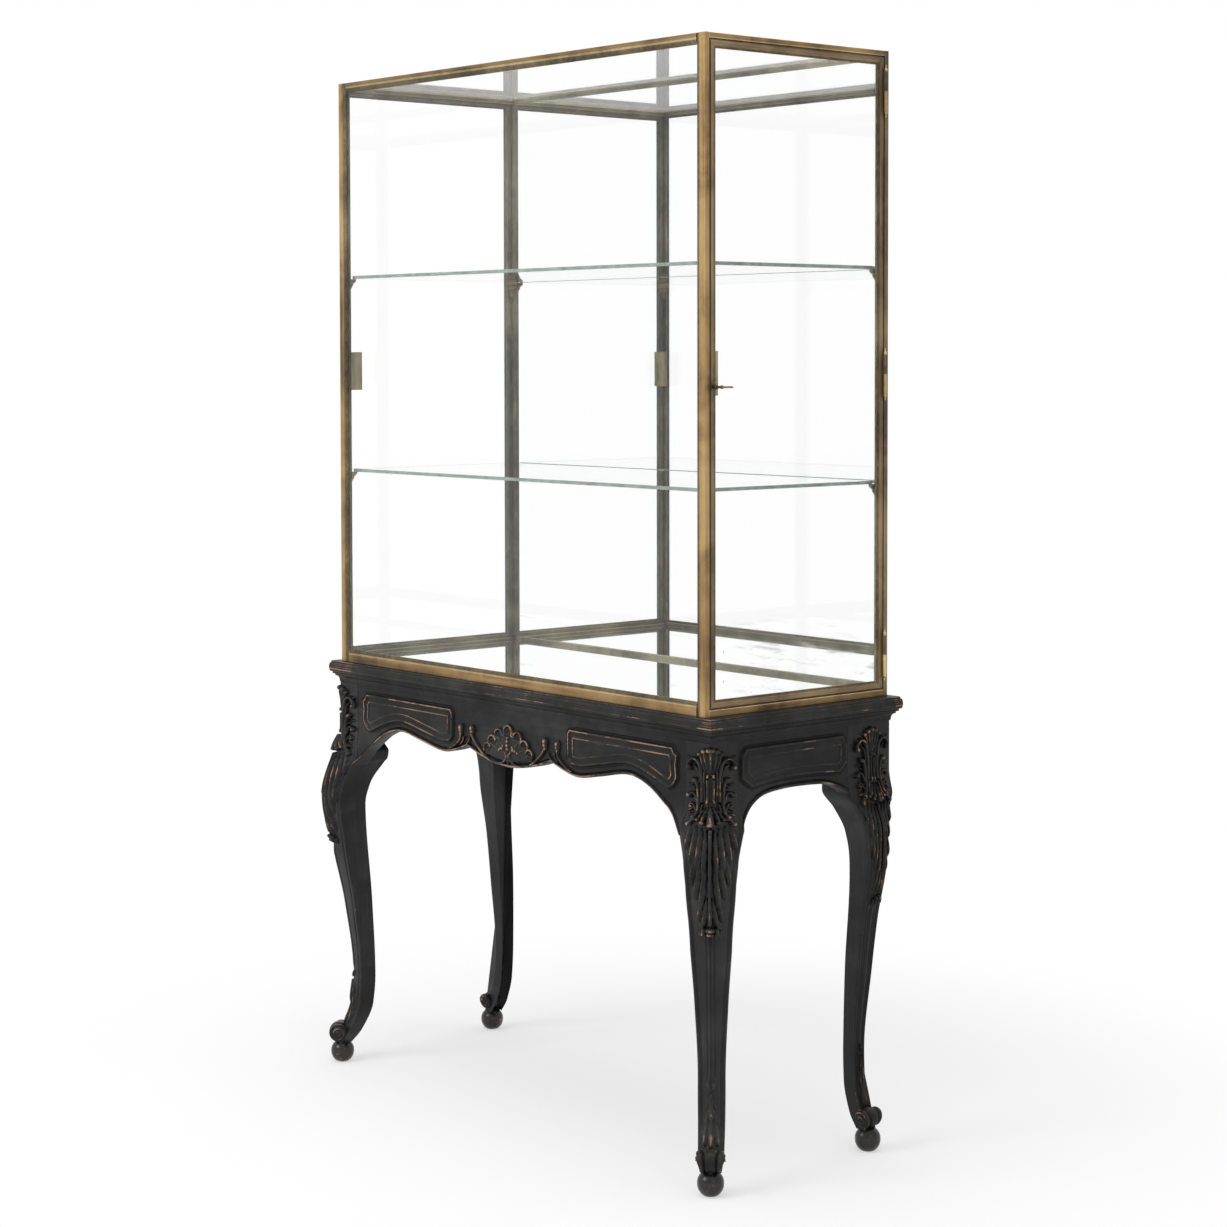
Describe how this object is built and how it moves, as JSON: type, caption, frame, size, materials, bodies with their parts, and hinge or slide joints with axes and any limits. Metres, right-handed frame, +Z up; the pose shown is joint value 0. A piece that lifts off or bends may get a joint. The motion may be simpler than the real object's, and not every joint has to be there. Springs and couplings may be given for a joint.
{
  "type": "display vitrine",
  "caption": "Brass-framed glass display vitrine with a mirrored back, glass shelves and lockable side doors, on an ebonised table with carved cabriole legs.",
  "frame": {"origin": "on the floor, at the centre of the whole object's box", "axes": "+Z up; the wide glass front faces -Y; +X is the side of the door with the key"},
  "size_m": [1.1217, 0.4662, 1.8773],
  "materials": {
    "ebonised_wood": "satin black, worn through to brown wood on the edges",
    "aged_brass": "aged, dull gilt with brown tarnish",
    "polished_brass": "brighter, handled brass",
    "clear_glass": "clear float glass, faint green edge",
    "antique_mirror": "old silvering with a little foxing",
    "backing_wood": "plain unfinished board"
  },
  "bodies": {
    "stand_and_case": {"apron_shell": "ebonised_wood", "back_apron": "ebonised_wood", "back_board": "backing_wood", "back_bottom_rail": "aged_brass", "back_left_leg": "ebonised_wood", "back_left_lower_corbel": "aged_brass", "back_left_post": "aged_brass", "back_left_upper_corbel": "aged_brass", "back_mirror": "antique_mirror", "back_right_leg": "ebonised_wood", "back_right_lower_corbel": "aged_brass", "back_right_post": "aged_brass", "back_right_upper_corbel": "aged_brass", "back_top_rail": "aged_brass", "base_board": "backing_wood", "floor_mirror": "antique_mirror", "front_apron": "ebonised_wood", "front_bottom_rail": "aged_brass", "front_glass": "clear_glass", "front_left_leg": "ebonised_wood", "front_left_lower_corbel": "aged_brass", "front_left_post": "aged_brass", "front_left_upper_corbel": "aged_brass", "front_right_leg": "ebonised_wood", "front_right_lower_corbel": "aged_brass", "front_right_post": "aged_brass", "front_right_upper_corbel": "aged_brass", "front_top_rail": "aged_brass", "left_apron": "ebonised_wood", "left_bottom_rail": "aged_brass", "left_hinge_pin_bottom": "polished_brass", "left_hinge_pin_middle": "polished_brass", "left_hinge_pin_top": "polished_brass", "left_top_rail": "aged_brass", "lower_shelf": "clear_glass", "right_apron": "ebonised_wood", "right_bottom_rail": "aged_brass", "right_hinge_pin_bottom": "polished_brass", "right_hinge_pin_middle": "polished_brass", "right_hinge_pin_top": "polished_brass", "right_top_rail": "aged_brass", "table_top": "ebonised_wood", "top_glass": "clear_glass", "upper_shelf": "clear_glass"},
    "left_door": {"left_door_bottom_rail": "aged_brass", "left_door_glass": "clear_glass", "left_door_top_rail": "aged_brass", "left_hinge_stile": "aged_brass", "left_lock_case": "aged_brass", "left_lock_stile": "aged_brass"},
    "left_lock_bolt": {"left_lock_bolt": "polished_brass"},
    "right_door": {"right_door_bottom_rail": "aged_brass", "right_door_glass": "clear_glass", "right_door_top_rail": "aged_brass", "right_hinge_stile": "aged_brass", "right_lock_case": "aged_brass", "right_lock_stile": "aged_brass"},
    "right_key": {"right_key": "polished_brass"},
    "right_lock_bolt": {"right_lock_bolt": "polished_brass"}
  },
  "joints": [
    {"name": "right_door_swing", "type": "hinge", "parent": "stand_and_case", "child": "right_door", "pos_m": [0.5207, 0.21008, 1.33], "axis": [0, 0, 1], "range_deg": [0, 170]},
    {"name": "left_door_swing", "type": "hinge", "parent": "stand_and_case", "child": "left_door", "pos_m": [-0.5207, 0.21008, 1.33], "axis": [0, 0, -1], "range_deg": [0, 170]},
    {"name": "right_key_turn", "type": "hinge", "parent": "right_door", "child": "right_key", "pos_m": [0.517, -0.18442, 1.3103], "axis": [1, 0, 0], "range_deg": [0, 180]},
    {"name": "right_bolt_throw", "type": "slide", "parent": "right_door", "child": "right_lock_bolt", "axis": [0, -1, 0], "range_m": [0, 0.007]},
    {"name": "left_bolt_throw", "type": "slide", "parent": "left_door", "child": "left_lock_bolt", "axis": [0, -1, 0], "range_m": [0, 0.007]}
  ],
  "couplings": [
    {"joint": "right_bolt_throw", "follows": "right_key_turn", "m_per_rad": 0.0022279}
  ]
}
